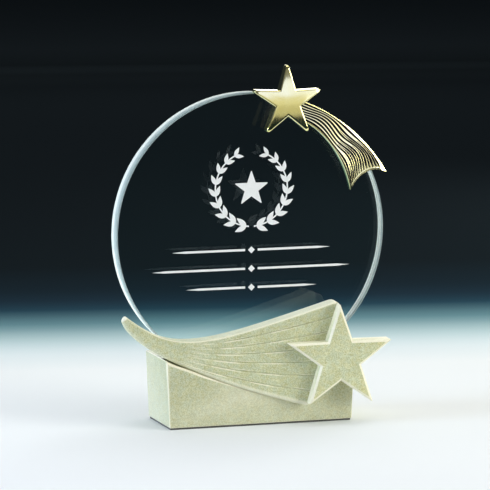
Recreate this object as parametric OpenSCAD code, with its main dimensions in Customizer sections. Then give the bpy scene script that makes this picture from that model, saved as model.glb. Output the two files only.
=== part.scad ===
// Free-standing shooting-star award: a clear disc in a cast-stone base, with a gilt star on its rim.
// Millimetres, +Z up, front towards -Y, origin at the middle of the felt's resting face.

/* [Disc] */
// Diameter of the clear disc
disc_d = 177.8; // [150:0.1:200]
// Thickness of the disc
disc_t = 12.7; // [9:0.1:16]
// Polished chamfer round both rims of the disc
disc_chamfer = 0.8; // [0.3:0.1:1.2]
// Height of the segment milled off so that the disc stands on a flat
disc_flat = 2.7; // [2:0.1:5]
// Centre of the disc, right of the middle of the block
disc_shift = -1.2; // [-4:0.1:4]

/* [Base block] */
// Width of the block at its foot
block_w = 121.4; // [112:0.1:135]
// Depth of the block, front to back
block_d = 47; // [45:0.5:56]
// Height of the block
block_h = 42.8; // [38:0.1:55]
// Outward lean of the two ends, in degrees
end_lean = 2.4; // [0:0.1:5]
// Depth of the slot that takes the disc
slot_depth = 9.4; // [7:0.1:12]
// Thickness of the clear bedding on the faces and the foot of the disc
bedding_t = 0.4; // [0.2:0.1:0.8]
// Gap round the edge of the disc in the slot
slot_gap = 0.6; // [0.3:0.1:1.5]
// Thickness of the felt
felt_t = 1.2; // [0.8:0.1:3]
// Inset of the felt from the edges of the block
felt_inset = 0.8; // [0:0.1:3]

/* [Disc screws] */
// Diameter of the screws
screw_d = 4; // [3:0.5:5]
// Depth of the wells for the screw heads, up from the foot of the block
well_depth = 7.3; // [6:0.1:12]
// Length of thread in the disc
screw_bite = 8.5; // [6:0.5:9]
// Spacing of the two screws
screw_pitch = 24; // [16:1:28]
// Diameter of the screw heads
head_d = 8; // [7:0.5:9]
// Height of the screw heads
head_h = 2.6; // [2:0.1:3.5]
// Diameter of the washers
washer_d = 9; // [8:0.5:11]
// Thickness of the washers
washer_t = 0.8; // [0.5:0.1:1.5]

/* [Swoosh plate] */
// Thickness of the plate
plate_t = 12.6; // [10.5:0.1:14]
// Turn of the plate about the vertical, right end forward, in degrees
plate_turn = 5; // [3:0.5:7]
// Depth of the plate's face behind the front of the block, at the start of the plate's own measure
face_step = 0.2; // [0:0.1:1]
// Start of the plate's own measure, right of the middle of the block
plate_x = -34.2; // [-38:0.1:-30]
// Reach of the free tip to the left
tip_reach = 54; // [48:0.5:60]
// Rise of the free tip over the block's top
tip_rise = 26.2; // [22:0.1:31]
// Thickness of the plate at its free tip
tip_t = 4.5; // [3:0.1:9]
// Height of the plate's rounded tip
tip_h = 4.3; // [2.5:0.1:5]
// Run of the top edge to the right corner
corner_run = 84; // [78:0.5:90]
// Rise of the right corner over the block's top
corner_rise = 34.8; // [31:0.1:39]
// Length over which the right corner is rounded
corner_round = 4; // [1:0.5:6]
// Number of grooves in the plate's face
groove_count = 6; // [3:1:9]
// Width of a groove at the face
groove_w = 0.8; // [0.6:0.1:1.5]
// Depth of a groove
groove_depth = 0.6; // [0.3:0.1:1]
// Height of the open ledge under the left of the plate
ledge_gap = 1.2; // [1:0.1:3]

/* [Stone star] */
// Radius to the points of the stone star
star_r = 35.6; // [32:0.1:39]
// Radius to the inner corners of the stone star
star_in_r = 14; // [12:0.1:15]
// Thickness of the stone star
star_t = 12; // [10:0.1:15]
// Depth to which the star is let into the plate
star_let_in = 4; // [3:0.1:5]
// Turn of the stone star, in degrees
star_turn = 0.8; // [-3:0.1:4]
// Rounding of the points of the stone star
star_tip_r = 0.4; // [0.3:0.1:1.2]
// Bevel round the face of the stone star
star_bevel = 1; // [0.5:0.1:2]

/* [Dowels] */
// Diameter of the dowels
dowel_d = 4; // [3:0.5:5]
// Length of the dowels
dowel_len = 10; // [8:0.5:12]
// Fit of dowels, screws and let-in pieces, on each side
fit = 0.1; // [0.05:0.05:0.3]

/* [Gilt casting] */
// Radius to the rounded points of the gilt star
gilt_r = 23.5; // [20:0.1:27]
// Radius to the inner corners of the gilt star
gilt_in_r = 9; // [7.5:0.1:10.5]
// Rounding of the points of the gilt star
gilt_tip_r = 1.2; // [0.6:0.1:1.6]
// Turn of the gilt star, in degrees
gilt_turn = -0.4; // [-4:0.1:4]
// Thickness of the gilt star
gilt_t = 7.5; // [6.5:0.1:10]
// Bevel round the face of the gilt star
gilt_bevel = 1.2; // [0.6:0.1:2]
// Place of the gilt star on the rim, in degrees up from the right
gilt_angle = 75.1; // [65:0.1:90]
// Distance of the gilt star's centre inside the rim
gilt_inset = 2.9; // [0:0.1:6]
// Sweep of the gilt tail along the rim from the star, in degrees
tail_sweep = 50.5; // [38:0.5:64]
// Width of the tail at its root
tail_root_w = 11.2; // [9:0.1:14]
// Width of the tail across its end
tail_end_w = 27.8; // [20:0.1:34]
// Overhang of the tail past the rim at its root
tail_root_out = 0.6; // [0:0.1:2]
// Overhang of the tail past the rim at its end
tail_end_out = 8.4; // [3:0.1:10]
// Depth of the hollow in the tail's end, in degrees
tail_notch = 4; // [1:0.5:6]
// Thickness of the tail
tail_t = 4.2; // [3:0.1:5.5]
// Number of long grooves in the tail
stripe_count = 7; // [5:1:10]
// Depth of the grooves in the tail
stripe_depth = 0.8; // [0.4:0.1:1.2]
// Depth of enamel in the grooves
enamel_t = 0.6; // [0.2:0.1:0.8]
// Thickness of the bonding pads on the disc
bond_t = 0.8; // [0.4:0.1:1.5]

/* [Print on the disc] */
// Thickness of the printed enamel
print_t = 0.15; // [0.1:0.05:0.3]
// Distance of the wreath's middle below the top of the disc
wreath_drop = 61; // [57:0.5:68]
// Radius of the wreath's stems
wreath_r = 24; // [18:0.5:28]
// Length of a wreath leaf
leaf_len = 8.4; // [6:0.1:10]
// Number of leaf pairs on each branch
leaf_pairs = 9; // [6:1:11]
// Length of the longest rule, as a share of the disc's diameter
rule_share = 0.74; // [0.5:0.01:0.78]
// Height of the rules
rule_h = 1.4; // [0.8:0.1:2.5]

/* [Hidden] */
$fn = 96;

stone = [0.80, 0.77, 0.62];
steel = [0.62, 0.63, 0.65];
gilt = [0.83, 0.70, 0.32];
clear = [0.82, 0.92, 0.94, 0.45];
white = [0.95, 0.95, 0.95];

// Length by which cuts run out past a face
over = 1;

// Heights that follow from the stack of felt, block, slot and disc
disc_r = disc_d / 2;
block_top = felt_t + block_h;
slot_floor = block_top - slot_depth;
disc_foot = slot_floor + bedding_t;
disc_z = disc_foot - disc_flat + disc_r;
slot_w = disc_t + 2 * bedding_t;

// Screws: under the head is the washer, against the roof of the well
screw_seat = felt_t + well_depth;
screw_len = disc_foot + screw_bite - screw_seat + washer_t;
screw_xs = [disc_shift - screw_pitch / 2, disc_shift + screw_pitch / 2];
// Room round the screws and the washers in the block, on each side
bore_room = 0.3;

// The plate's face, and the place from which its back is planed off towards the tip
plate_y = face_step - block_d / 2;
taper_from = -12;

// Stone star: its top point lies just under the plate's right corner, and the plate backs its middle
corner_margin = 0.9;
corner_left = 0.7;
backing_margin = 2;
star_c = [corner_run - corner_left, corner_rise - star_r - corner_margin];
star_backing = star_in_r - backing_margin;

// Middles of the dowels, along the plate and over the block's top
star_dowel_at = [star_c + [-4, 8], star_c + [-5, -8]];
plate_dowel_at = [[24, -14], [56, -18]];

// Edges of the plate as curves through four points each, along the plate and over the block's top
low_corner = star_c + polar(star_r, 234 + star_turn) + [0.5, -1.5];
top_edge = [[1 - tip_reach, tip_rise + tip_h / 2], [-21, 3], [-4.5, 8], [corner_run, corner_rise]];
low_tip = [-1.9 - tip_reach, tip_rise - tip_h / 4];
low_edge = [low_tip, low_tip + [5.9, -18.4], [3.3, -17], low_corner];
tip_cap = [low_tip, low_tip + [-0.6, 1.9], top_edge[0] + [-1.4, 1.1], top_edge[0]];
edge_steps = 30;
cap_steps = 6;
// Share of the low edge over which the ledge closes up
ledge_from = 0.42;
ledge_to = 0.54;
// Grooves: where they start and stop along the plate, their rows, and how they swell from a point
groove_left = 0.42;
groove_right = 1.02;
first_row_left = 0.09;
first_row_right = 0.15;
last_row = 0.855;
groove_point = 0.15;
groove_swell = 0.25;

// Gilt star and tail, measured round the disc's centre; the tail's root lies under the star
gilt_c = polar(disc_r - gilt_inset, gilt_angle);
tail_tuck = 3.1;
tail_root_a = gilt_angle - tail_tuck;
tail_out_bend = 1.9;
tail_width_bend = 1.7;
tail_steps = 26;
end_steps = 12;
// Room round the tail's root under the star, as shares of its length and width
root_room = 0.02;
root_hidden = 0.5;
// Margins of the bonding pads: from edges, and as shares of the tail's length and width
bond_margin = 1.5;
bond_share = 0.08;

// Grooves in the tail: their margin, wander and ends, and the share of its lane that a groove fills
stripe_edge = 0.035;
stripe_wave = 0.08;
stripe_waves = 2.1;
stripe_phase = 0.025;
stripe_drift = 0.05;
stripe_from = 0.02;
stripe_end = 0.975;
stripe_root_share = 0.54;
stripe_end_share = 0.36;
stripe_tip = 0.2;
stripe_taper = 0.06;
// Short grooves between the long ones, which thin down to make room for them
thin_from = 0.4;
thin_run = 0.25;
fork_from = 0.62;
fork_spread = 0.1;
fork_turn = 140;
fork_share = 0.28;
fork_taper = 0.2;

// Wreath: angles of its lowest and highest leaves, and how the leaves stand on the stem
wreath_z = disc_r - wreath_drop;
stem_w = 0.9;
stem_tail = 4;
leaf_first = -82;
leaf_last = 62;
leaf_spread = 32;
leaf_slim = 0.4;
leaf_small = 0.75;
leaf_belly = 0.8;
// Rules: distances below the wreath's middle, and their shares of the longest
rule_drops = [39, 51, 63];
rule_shares = [0.8, 1, 0.66];
rule_gap = 3 * rule_h;
rule_taper = 6 * rule_h;
lozenge = 1.6 * rule_h;

function lerp(a, b, t) = a + (b - a) * t;
function ease(t) = let (c = min(1, max(0, t))) c * c * (3 - 2 * c);
function polar(r, a) = r * [cos(a), sin(a)];
function curve(p, t) = pow(1 - t, 3) * p[0] + 3 * pow(1 - t, 2) * t * p[1]
    + 3 * (1 - t) * t * t * p[2] + pow(t, 3) * p[3];
function steps(n) = [for (i = [0 : n]) i / n];
function unit(v) = v / norm(v);
function flip(list) = [for (i = [len(list) - 1 : -1 : 0]) list[i]];

// Half angle of a star's point, from its two radii
function point_half(r_out, r_in) = atan2(r_in * sin(36), r_out - r_in * cos(36));
// Distance of a star's edges from its centre
function edge_dist(r_out, r_in) = r_out * sin(point_half(r_out, r_in));
// Outline of an upright star with rounded points
function star_outline(r_out, r_in, tip_r, turn) =
    let (half = point_half(r_out, r_in), arc = 90 - half, mid = r_out - tip_r / sin(half))
    [for (k = [0 : 4], j = [0 : 5])
        let (a = 90 + turn + 72 * k)
        j < 5 ? polar(mid, a) + polar(tip_r, a + lerp(-arc, arc, j / 4)) : polar(r_in, a + 36)];

// Point of the plate's face: t along it, f from its top edge to its low edge
function plate_point(t, f) = lerp(curve(top_edge, t), curve(low_edge, t), f);
// Opening under the low edge: the ledge on the left, a close fit on the right
function seat_gap(t) = fit + ledge_gap * (1 - ease((t - ledge_from) / (ledge_to - ledge_from)));
// Right end of the plate or of its seat, inside the outline of the stone star
function plate_end(grow) = [star_c + polar(star_backing + grow, 54 + star_turn),
                            star_c + polar(star_backing + grow, star_turn - 90) + [0, -grow],
                            low_corner + [grow, -grow]];
// The right corner, rounded between a place on the top edge and one on the right end
corner_at = curve(top_edge, 1);
corner_top = corner_at + corner_round * unit(top_edge[2] - corner_at);
corner_low = corner_at + corner_round * unit(plate_end(0)[0] - corner_at);
corner_pull = 0.55;
corner_curve = [corner_top, lerp(corner_top, corner_at, corner_pull),
                lerp(corner_low, corner_at, corner_pull), corner_low];
top_points = [for (t = steps(edge_steps)) curve(top_edge, t)];
plate_outline = concat([for (p = top_points) if (p[0] < corner_top[0]) p],
                       [for (t = steps(cap_steps)) curve(corner_curve, t)],
                       plate_end(0),
                       flip([for (t = steps(edge_steps)) curve(low_edge, t)]),
                       [for (i = [1 : cap_steps - 1]) curve(tip_cap, i / cap_steps)]);
seat_outline = concat([for (t = steps(edge_steps)) curve(low_edge, t) - [0, seat_gap(t)]],
                      flip(plate_end(fit)),
                      [[star_c[0] + star_in_r, corner_rise], [-block_w, corner_rise]]);

// Half width of a groove, drawn out to a point on the left, and its row across the plate
function groove_half(t) = groove_w / 2 * lerp(groove_point, 1, ease((t - groove_left) / groove_swell));
function groove_row(k, t) = lerp(lerp(first_row_left, first_row_right, t), last_row, k / (groove_count - 1));

// Point of the gilt tail round the disc's centre: t along it, f from its outer to its inner edge
function tail_out(t) = disc_r + lerp(tail_root_out, tail_end_out, pow(max(0, t), tail_out_bend));
function tail_width(t) = lerp(tail_root_w, tail_end_w, pow(max(0, t), tail_width_bend));
function tail_stop(f) = tail_root_a - tail_sweep + tail_notch * (1 - pow(2 * f - 1, 2));
function tail_point(t, f) = polar(tail_out(t) - f * tail_width(t), lerp(tail_root_a, tail_stop(f), t));
function tail_outline(t0, t1, f0, f1) = concat(
    [for (s = steps(tail_steps)) tail_point(lerp(t0, t1, s), f0)],
    [for (i = [1 : end_steps - 1]) tail_point(t1, lerp(f0, f1, i / end_steps))],
    flip([for (s = steps(tail_steps)) tail_point(lerp(t0, t1, s), f1)]));

// Where a place across the tail wanders to along it, like grain
function wander(f, t, k) = f + 4 * f * (1 - f)
    * (stripe_drift * (t - 0.5) + stripe_wave * sin(360 * (stripe_waves * t + stripe_phase * k)));
// Half width of a groove in the tail, as a share of the tail's width
function long_share(t) =
    lerp(stripe_root_share, stripe_end_share, ease((t - thin_from) / thin_run));
function stripe_ends(t, t0, taper) =
    lerp(stripe_tip, 1, ease((t - t0) / taper) * ease((stripe_end - t) / stripe_taper));
function stripe_half(t, t0, fork) = (fork ? fork_share : long_share(t)) / 2 / stripe_count
    * stripe_ends(t, t0, fork ? fork_taper : stripe_taper);
function stripe_side(f, t0, fork, k, side) = [for (s = steps(tail_steps)) let (t = lerp(t0, stripe_end, s))
    tail_point(t, wander(f + side * stripe_half(t, t0, fork), t, k))];
function stripe_outline(f, t0, fork, k) =
    concat(stripe_side(f, t0, fork, k, -1), flip(stripe_side(f, t0, fork, k, 1)));
function stripe_lane(k) = lerp(stripe_edge, 1 - stripe_edge, k / stripe_count);
long_stripes = [for (k = [0 : stripe_count - 1])
    stripe_outline(stripe_lane(k + 0.5), stripe_from, false, k)];
fork_stripes = [for (k = [1 : stripe_count - 1])
    let (from = fork_from + fork_spread * sin(fork_turn * k))
    stripe_outline(stripe_lane(k), from, true, k - 0.5)];

// A flat outline stood up on edge, with its front at y = 0
module slab(t) {
    translate([0, t, 0]) rotate([90, 0, 0]) linear_extrude(t) children();
}

// A pin or hole along +Y
module pin(d, len) {
    rotate([-90, 0, 0]) cylinder(d = d, h = len);
}

// Frame of the plate: along its face, back from it, and up from the block's top
module on_plate() {
    translate([plate_x, plate_y, block_top]) rotate([0, 0, -plate_turn]) children();
}

// Frame of the disc's front face: flat outlines stand out from it by t, from the given lift
module on_face(lift, t) {
    translate([disc_shift, -disc_t / 2 - lift, disc_z]) rotate([90, 0, 0]) linear_extrude(t) children();
}

// A star prism with a bevelled face, its back at y = 0 and its face at y = -t
module bevelled_star(r_out, r_in, tip_r, turn, t, bevel) {
    outline = star_outline(r_out, r_in, tip_r, turn);
    small = 1 - bevel / edge_dist(r_out, r_in);
    rotate([90, 0, 0]) {
        linear_extrude(t - bevel) polygon(outline);
        translate([0, 0, t - bevel]) linear_extrude(bevel, scale = small) polygon(outline);
    }
}

// Where the stone star's back lies in the plate's frame
module at_star() {
    translate([star_c[0], star_let_in, star_c[1]]) children();
}

module dowels(at, depth, d, len) {
    for (p = at) translate([p[0], depth - len / 2, p[1]]) pin(d, len);
}

// Outline of the stone star's seat, with the fit all round
module star_seat() {
    grow = 1 + fit / edge_dist(star_r, star_in_r);
    at_star() translate([0, -2 * star_t, 0]) slab(2 * star_t)
        polygon(star_outline(star_r * grow, star_in_r * grow, star_tip_r, star_turn));
}

// What is planed off the plate's back towards the tip
module back_taper(room) {
    far = 2 * tip_reach;
    translate([0, room, -block_h]) linear_extrude(2 * block_h)
        polygon([[taper_from, plate_t], [-tip_reach, tip_t], [-far, tip_t], [-far, far], [taper_from, far]]);
}

module base_block() {
    foot = block_w / 2;
    top = foot + block_h * tan(end_lean);
    color(stone) difference() {
        translate([0, -block_d / 2, felt_t]) slab(block_d)
            polygon([[-foot, 0], [foot, 0], [top, block_h], [-top, block_h]]);
        intersection() {
            translate([disc_shift, -slot_w / 2, disc_z]) pin(2 * (disc_r + slot_gap), slot_w);
            translate([-block_w, -block_d, slot_floor]) cube([2 * block_w, 2 * block_d, slot_depth + over]);
        }
        on_plate() difference() {
            translate([0, plate_t - 2 * block_d, 0]) slab(2 * block_d) polygon(seat_outline);
            back_taper(fit);
        }
        on_plate() star_seat();
        on_plate() dowels(plate_dowel_at, plate_t, dowel_d + 2 * fit, dowel_len + 2 * fit);
        for (x = screw_xs) translate([x, 0, 0]) {
            cylinder(d = screw_d + 2 * bore_room, h = block_top);
            cylinder(d = washer_d + 2 * bore_room, h = screw_seat);
        }
    }
}

module swoosh_plate() {
    color(stone) on_plate() difference() {
        slab(plate_t) polygon(plate_outline);
        back_taper(0);
        star_seat();
        plate_grooves();
        dowels(plate_dowel_at, plate_t, dowel_d + 2 * fit, dowel_len + 2 * fit);
        dowels(star_dowel_at, star_let_in, dowel_d + 2 * fit, dowel_len + 2 * fit);
    }
}

module plate_grooves() {
    ts = [for (s = steps(edge_steps)) lerp(groove_left, groove_right, s)];
    for (k = [0 : groove_count - 1]) {
        above = [for (t = ts) plate_point(t, groove_row(k, t)) + [0, groove_half(t)]];
        below = [for (t = ts) plate_point(t, groove_row(k, t)) - [0, groove_half(t)]];
        translate([0, -over, 0]) slab(over + groove_depth) polygon(concat(above, flip(below)));
    }
}

module stone_star() {
    color(stone) on_plate() at_star() difference() {
        bevelled_star(star_r, star_in_r, star_tip_r, star_turn, star_t, star_bevel);
        translate([-star_c[0], 0, -star_c[1]])
            dowels(star_dowel_at, 0, dowel_d + 2 * fit, dowel_len + 2 * fit);
    }
}

module plate_dowels() {
    color(steel) on_plate() dowels(plate_dowel_at, plate_t, dowel_d, dowel_len);
}

module star_dowels() {
    color(steel) on_plate() dowels(star_dowel_at, star_let_in, dowel_d, dowel_len);
}

module award_disc() {
    flat_r = disc_r - disc_chamfer;
    rim = [[0, 0], [flat_r, 0], [disc_r, disc_chamfer], [disc_r, disc_t - disc_chamfer], [flat_r, disc_t],
           [0, disc_t]];
    color(clear) difference() {
        translate([disc_shift, disc_t / 2, disc_z]) rotate([90, 0, 0]) rotate_extrude() polygon(rim);
        translate([-disc_r, -disc_t, disc_foot - disc_r]) cube([2 * disc_d, 2 * disc_t, disc_r]);
        for (x = screw_xs) translate([x, 0, disc_foot - over])
            cylinder(d = screw_d + 2 * fit, h = screw_bite + fit + over);
    }
}

module slot_bedding() {
    foot_half = sqrt(disc_r * disc_r - pow(disc_r - disc_flat, 2)) - over;
    color([0.9, 0.92, 0.9]) {
        for (y = [-disc_t / 2 - bedding_t, disc_t / 2]) intersection() {
            translate([disc_shift, y, disc_z]) pin(disc_d - 2 * disc_chamfer, bedding_t);
            translate([-block_w, -block_d, disc_foot])
                cube([2 * block_w, 2 * block_d, block_top - disc_foot]);
        }
        difference() {
            translate([disc_shift - foot_half, disc_chamfer - disc_t / 2, slot_floor])
                cube([2 * foot_half, disc_t - 2 * disc_chamfer, bedding_t]);
            for (x = screw_xs) translate([x, 0, 0]) cylinder(d = screw_d + 2 * fit, h = block_top);
        }
    }
}

module disc_screws() {
    socket_share = 0.45;
    color(steel) for (x = screw_xs) translate([x, 0, screw_seat - washer_t]) difference() {
        union() {
            cylinder(d = screw_d, h = screw_len);
            translate([0, 0, -head_h]) cylinder(d = head_d, h = head_h);
        }
        translate([0, 0, -head_h]) cylinder(d = head_d * socket_share, h = head_h / 2, $fn = 6);
    }
}

module screw_washers() {
    color(steel) for (x = screw_xs) translate([x, 0, screw_seat - washer_t]) difference() {
        cylinder(d = washer_d, h = washer_t);
        translate([0, 0, -over]) cylinder(d = screw_d + 2 * fit, h = washer_t + 2 * over);
    }
}

module base_felt() {
    size = [block_w - 2 * felt_inset, block_d - 2 * felt_inset, felt_t];
    color([0.12, 0.13, 0.13]) translate([-size[0] / 2, -size[1] / 2, 0]) cube(size);
}

module gilt_star() {
    sharp_r = gilt_r + gilt_tip_r * (1 / sin(18) - 1);
    color(gilt) difference() {
        translate([disc_shift, -disc_t / 2 - bond_t, disc_z]) translate([gilt_c[0], 0, gilt_c[1]])
            bevelled_star(sharp_r, gilt_in_r, gilt_tip_r, gilt_turn, gilt_t, gilt_bevel);
        on_face(bond_t - over, tail_t + fit + over)
            polygon(tail_outline(-root_room, root_hidden, -root_room, 1 + root_room));
    }
}

module gilt_tail() {
    color(gilt) difference() {
        on_face(bond_t, tail_t) polygon(tail_outline(0, 1, 0, 1));
        on_face(bond_t + tail_t - stripe_depth, stripe_depth + over) tail_stripes();
    }
}

module tail_stripes() {
    for (outline = concat(long_stripes, fork_stripes)) polygon(outline);
}

module tail_enamel() {
    color([0.05, 0.05, 0.05]) on_face(bond_t + tail_t - stripe_depth, enamel_t) tail_stripes();
}

module on_disc_only() {
    intersection() {
        children();
        translate([disc_shift, -disc_d, disc_z]) pin(disc_d - 2 * bond_margin, disc_d);
    }
}

module star_bond() {
    shrink = 1 - bond_margin / edge_dist(gilt_r, gilt_in_r);
    apart = 3 * root_room;
    color(clear) difference() {
        on_disc_only() on_face(0, bond_t) translate(gilt_c)
            polygon(star_outline(gilt_r * shrink, gilt_in_r * shrink, gilt_tip_r, gilt_turn));
        on_face(-over, bond_t + 2 * over) polygon(tail_outline(-apart, root_hidden, -apart, 1 + apart));
    }
}

module tail_bond() {
    color(clear) on_disc_only() on_face(0, bond_t)
        polygon(tail_outline(bond_share, 1 - bond_share, bond_share, 1 - bond_share));
}

// A leaf drawn as two bows, its stalk at the origin and its point along +X
module leaf(len, wide) {
    bow = [for (s = steps(8)) [len * s, wide / 2 * sin(180 * pow(s, leaf_belly))]];
    polygon(concat(bow, flip([for (p = bow) [p[0], -p[1]]])));
}

module wreath_branch() {
    stem = [for (s = steps(24)) lerp(leaf_first - stem_tail, leaf_last + stem_tail / 2, s)];
    polygon(concat([for (a = stem) polar(wreath_r + stem_w / 2, a)],
                   flip([for (a = stem) polar(wreath_r - stem_w / 2, a)])));
    for (i = [0 : leaf_pairs - 1], side = [-1, 1]) {
        share = i / (leaf_pairs - 1);
        size = leaf_len * lerp(1, leaf_small, share);
        rotate(lerp(leaf_first, leaf_last, share)) translate([wreath_r, 0])
            rotate(90 - side * leaf_spread) leaf(size, size * leaf_slim);
    }
}

module wreath_print() {
    color(white) {
        on_face(0, print_t) translate([0, wreath_z]) wreath_branch();
        on_face(0, print_t) translate([0, wreath_z]) mirror([1, 0]) wreath_branch();
        on_face(0, print_t) translate([0, wreath_z])
            polygon(star_outline(wreath_r / 2, wreath_r / 5, stem_w / 3, 0));
    }
}

// A plain rule, drawn out to a point at both ends and broken by a lozenge
module rule(len) {
    half = rule_h / 2;
    shoulder = len / 2 - rule_taper;
    for (side = [-1, 1]) polygon([[side * rule_gap, half], [side * shoulder, half], [side * len / 2, 0],
                                  [side * shoulder, -half], [side * rule_gap, -half]]);
    polygon([[-lozenge, 0], [0, lozenge], [lozenge, 0], [0, -lozenge]]);
}

module rule_print() {
    color(white) for (i = [0 : len(rule_drops) - 1])
        on_face(0, print_t) translate([0, wreath_z - rule_drops[i]])
            rule(disc_d * rule_share * rule_shares[i]);
}

base_block();
swoosh_plate();
stone_star();
plate_dowels();
star_dowels();
award_disc();
slot_bedding();
disc_screws();
screw_washers();
base_felt();
gilt_star();
gilt_tail();
tail_enamel();
star_bond();
tail_bond();
wreath_print();
rule_print();
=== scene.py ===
import math
import bmesh
import bpy
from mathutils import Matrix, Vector


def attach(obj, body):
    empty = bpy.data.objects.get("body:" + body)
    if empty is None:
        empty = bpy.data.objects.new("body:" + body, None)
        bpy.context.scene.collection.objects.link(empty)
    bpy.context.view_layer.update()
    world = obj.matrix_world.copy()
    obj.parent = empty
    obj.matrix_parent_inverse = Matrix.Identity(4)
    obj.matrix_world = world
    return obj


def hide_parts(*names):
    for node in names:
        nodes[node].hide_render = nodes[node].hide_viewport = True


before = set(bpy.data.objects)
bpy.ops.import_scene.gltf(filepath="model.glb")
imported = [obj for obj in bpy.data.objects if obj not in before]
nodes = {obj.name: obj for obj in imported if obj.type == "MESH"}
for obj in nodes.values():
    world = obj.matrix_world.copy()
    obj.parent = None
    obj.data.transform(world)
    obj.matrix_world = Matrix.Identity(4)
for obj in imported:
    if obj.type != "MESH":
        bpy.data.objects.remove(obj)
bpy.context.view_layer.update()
mm = 0.001
weldGap = 2e-6  # points nearer than this, in metres, are joined
leastEdge = 1e-6
print("frame loaded:", len(nodes), "solids")

# sizes shared by several pieces, in millimetres and degrees, as the solids have them
layout = {
    "blockTop": 44.0,
    "plateX": -34.2,
    "plateY": -23.3,
    "plateTurn": 5.0,
    "discX": -1.2,
    "discZ": 121.2,
    "discRadius": 88.9,
    "discThick": 12.7,
    "bondThick": 0.8,
}
turnCos = math.cos(math.radians(layout["plateTurn"]))
turnSin = math.sin(math.radians(layout["plateTurn"]))


def onPlate(along, back, up):
    x = layout["plateX"] + along * turnCos + back * turnSin
    y = layout["plateY"] - along * turnSin + back * turnCos
    return Vector((x, y, layout["blockTop"] + up)) * mm


def onFace(right, up, lift):
    front = -layout["discThick"] / 2 - lift
    return Vector((layout["discX"] + right, front, layout["discZ"] + up)) * mm


def polar(radius, degrees):
    return radius * math.cos(math.radians(degrees)), radius * math.sin(math.radians(degrees))


def mixed(a, b, share):
    return a + (b - a) * share


def eased(share):
    clipped = min(1.0, max(0.0, share))
    return clipped * clipped * (3 - 2 * clipped)


def curvePoint(four, t):
    weights = ((1 - t) ** 3, 3 * (1 - t) ** 2 * t, 3 * (1 - t) * t * t, t ** 3)
    return tuple(sum(w * p[axis] for w, p in zip(weights, four)) for axis in (0, 1))


def roundDrop(distance, radius):
    # how far a rounded edge falls back, this far in from the edge
    if distance >= radius:
        return 0.0
    reach = radius - max(0.0, distance)
    return radius - math.sqrt(max(0.0, radius * radius - reach * reach))


def markHighlightEdges(piece, fromDegrees=0, fullDegrees=14, upToDegrees=180):
    # stores how far each point stands on an outward edge, for the painted highlight along the
    # stone's edges
    shape = bmesh.new()
    shape.from_mesh(piece.data)
    bends = []
    for point in shape.verts:
        outward = [edge for edge in point.link_edges if edge.is_manifold and edge.is_convex]
        angles = [math.degrees(edge.calc_face_angle(0)) for edge in outward]
        largest = max((a for a in angles if a < upToDegrees), default=0)
        bend = (largest - fromDegrees) / (fullDegrees - fromDegrees)
        bends.append(min(1.0, max(0.0, bend)))
    shape.free()
    edgeHighlight = piece.data.attributes.new("paintedEdgeHighlight", "FLOAT", "POINT")
    edgeHighlight.data.foreach_set("value", bends)


def addPiece(name, points, faces, sharpDegrees=35):
    mesh = bpy.data.meshes.new(name)
    mesh.from_pydata([tuple(p) for p in points], [], faces)
    piece = bpy.data.objects.new(name, mesh)
    bpy.context.scene.collection.objects.link(piece)
    tidyMesh(piece, sharpDegrees)
    return piece


def tidyMesh(piece, sharpDegrees, flatArea=math.inf):
    # faces larger than flatArea, in square millimetres, are shaded flat
    shape = bmesh.new()
    shape.from_mesh(piece.data)
    bmesh.ops.remove_doubles(shape, verts=shape.verts, dist=weldGap)
    bmesh.ops.dissolve_degenerate(shape, edges=shape.edges, dist=leastEdge)
    bmesh.ops.recalc_face_normals(shape, faces=shape.faces)
    for face in shape.faces:
        face.smooth = face.calc_area() < flatArea * mm * mm
    for edge in shape.edges:
        edge.smooth = edge.is_manifold and edge.calc_face_angle(0) < math.radians(sharpDegrees)
    shape.to_mesh(piece.data)
    shape.free()


def gridSolid(front, back):
    # two matching grids of points, closed round their edges
    columns, rows = len(front), len(front[0])
    points = [p for column in front for p in column] + [p for column in back for p in column]
    half = columns * rows
    faces = []
    for i in range(columns - 1):
        for j in range(rows - 1):
            quad = (i * rows + j, (i + 1) * rows + j, (i + 1) * rows + j + 1, i * rows + j + 1)
            faces.append(quad)
            faces.append(tuple(half + q for q in reversed(quad)))
    rim = [i * rows for i in range(columns)]
    rim += [(columns - 1) * rows + j for j in range(1, rows)]
    rim += [i * rows + rows - 1 for i in range(columns - 2, -1, -1)]
    rim += [j for j in range(rows - 2, 0, -1)]
    for a, b in zip(rim, rim[1:] + rim[:1]):
        faces.append((b, a, half + a, half + b))
    return points, faces


def ringSolid(rings):
    # closed rings of the same count, joined in order and capped at both ends
    count = len(rings[0])
    points = [p for ring in rings for p in ring]
    faces = [tuple(reversed(range(count)))]
    for k in range(len(rings) - 1):
        for i in range(count):
            n = (i + 1) % count
            faces.append((k * count + i, k * count + n, (k + 1) * count + n, (k + 1) * count + i))
    last = (len(rings) - 1) * count
    faces.append(tuple(last + i for i in range(count)))
    return points, faces


def cutAway(piece, cutter, sharpDegrees):
    tool = piece.modifiers.new("cut", "BOOLEAN")
    tool.operation = "DIFFERENCE"
    tool.solver = "EXACT"
    tool.object = cutter
    graph = bpy.context.evaluated_depsgraph_get()
    result = bpy.data.meshes.new_from_object(piece.evaluated_get(graph))
    piece.modifiers.clear()
    piece.data = result
    bpy.data.objects.remove(cutter)
    tidyMesh(piece, sharpDegrees)


def dress(piece, finish, slotName, *replaced):
    piece.data.materials.clear()
    piece.data.materials.append(finish)
    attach(piece, "root")
    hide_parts(*replaced)


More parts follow.
